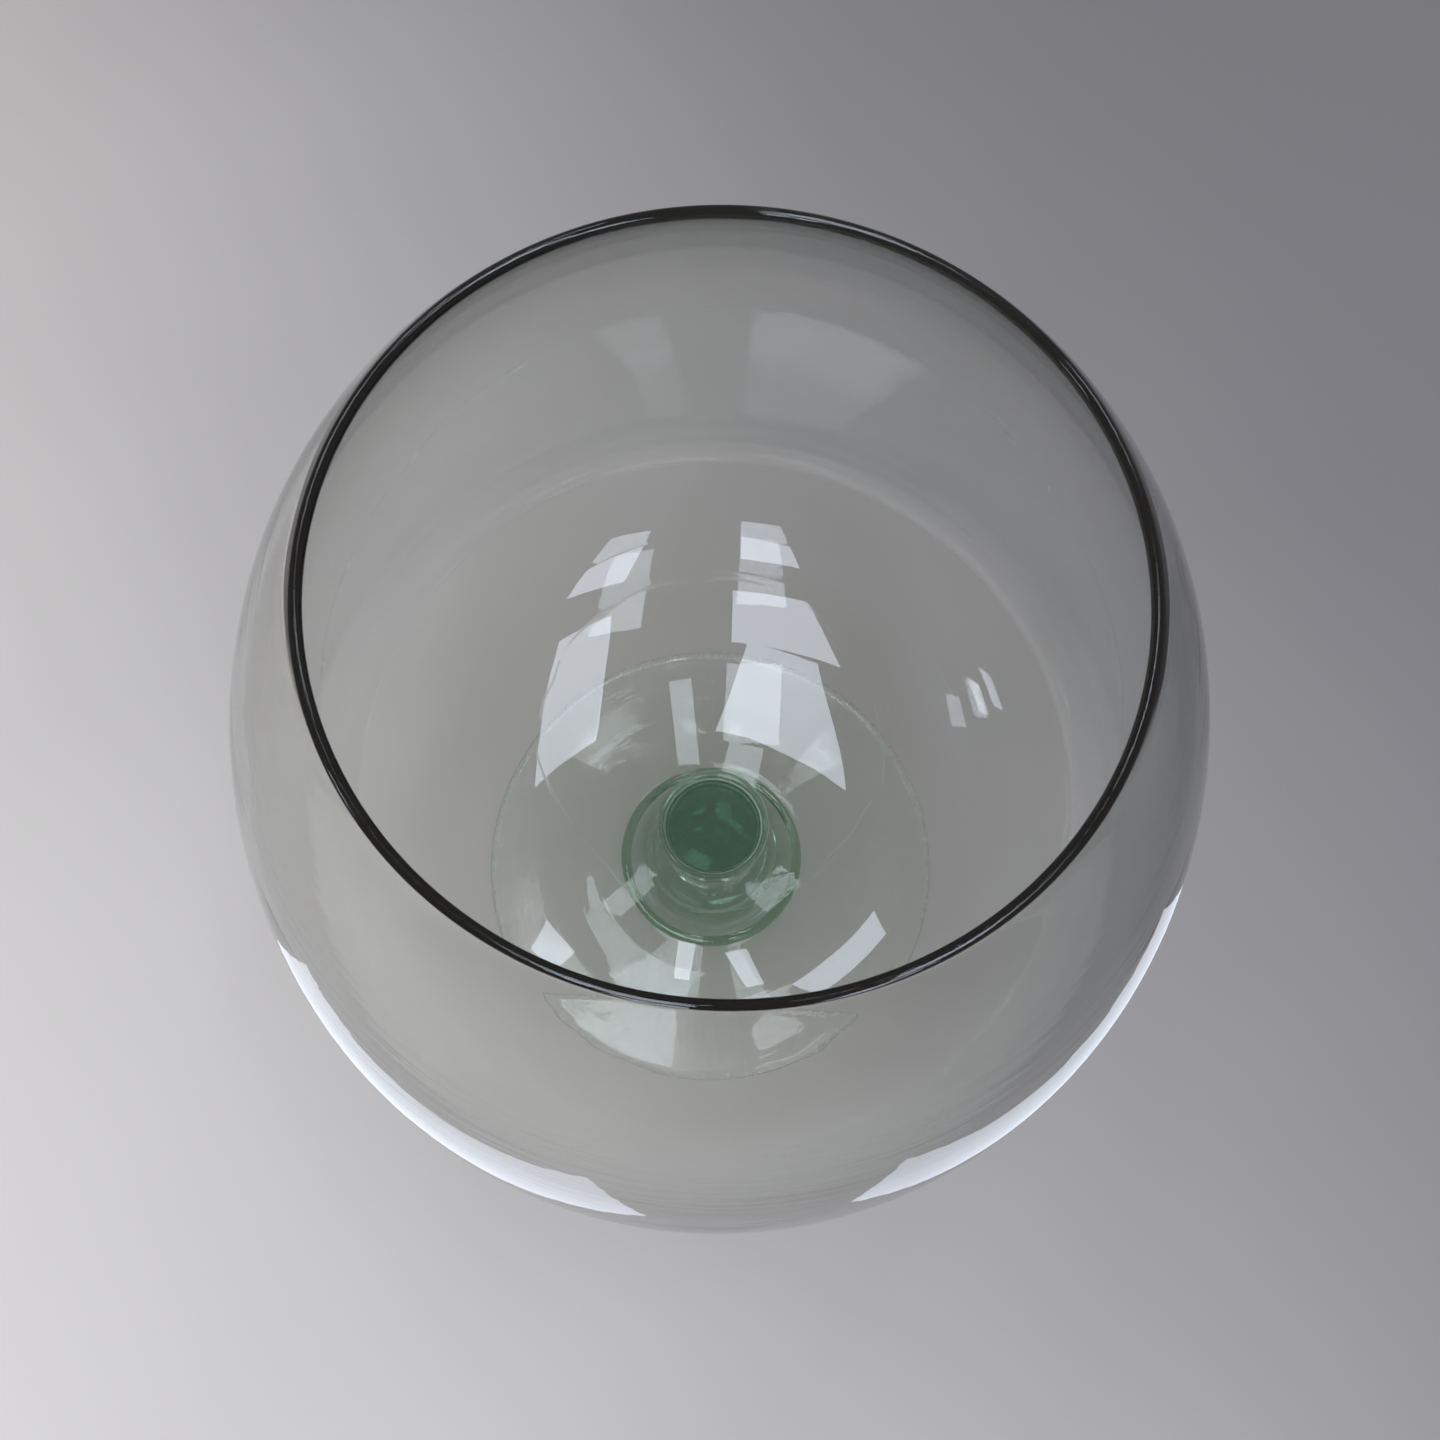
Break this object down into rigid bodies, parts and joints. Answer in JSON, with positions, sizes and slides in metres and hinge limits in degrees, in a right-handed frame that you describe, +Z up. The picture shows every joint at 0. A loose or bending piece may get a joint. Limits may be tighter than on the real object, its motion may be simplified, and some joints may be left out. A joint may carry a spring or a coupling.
{
  "type": "brandy snifter",
  "caption": "Short-stemmed brandy snifter: wide blown glass bowl closing in to a rounded lip, on a thick waisted stem and a round foot.",
  "frame": {"origin": "centre of the plane that the foot rests on", "axes": "+Z up along the glass's axis of turning, towards the mouth; X and Y are free, because the glass is round"},
  "size_m": [0.112, 0.112, 0.1271],
  "materials": {
    "bowl_glass": "clear polished glass with a faint grey-green cast",
    "stem_glass": "clear polished glass that looks green where it is thick",
    "foot_glass": "clear polished glass with a pale green cast"
  },
  "bodies": {
    "root": {"bowl": "bowl_glass", "stem": "stem_glass", "foot": "foot_glass"}
  },
  "joints": []
}
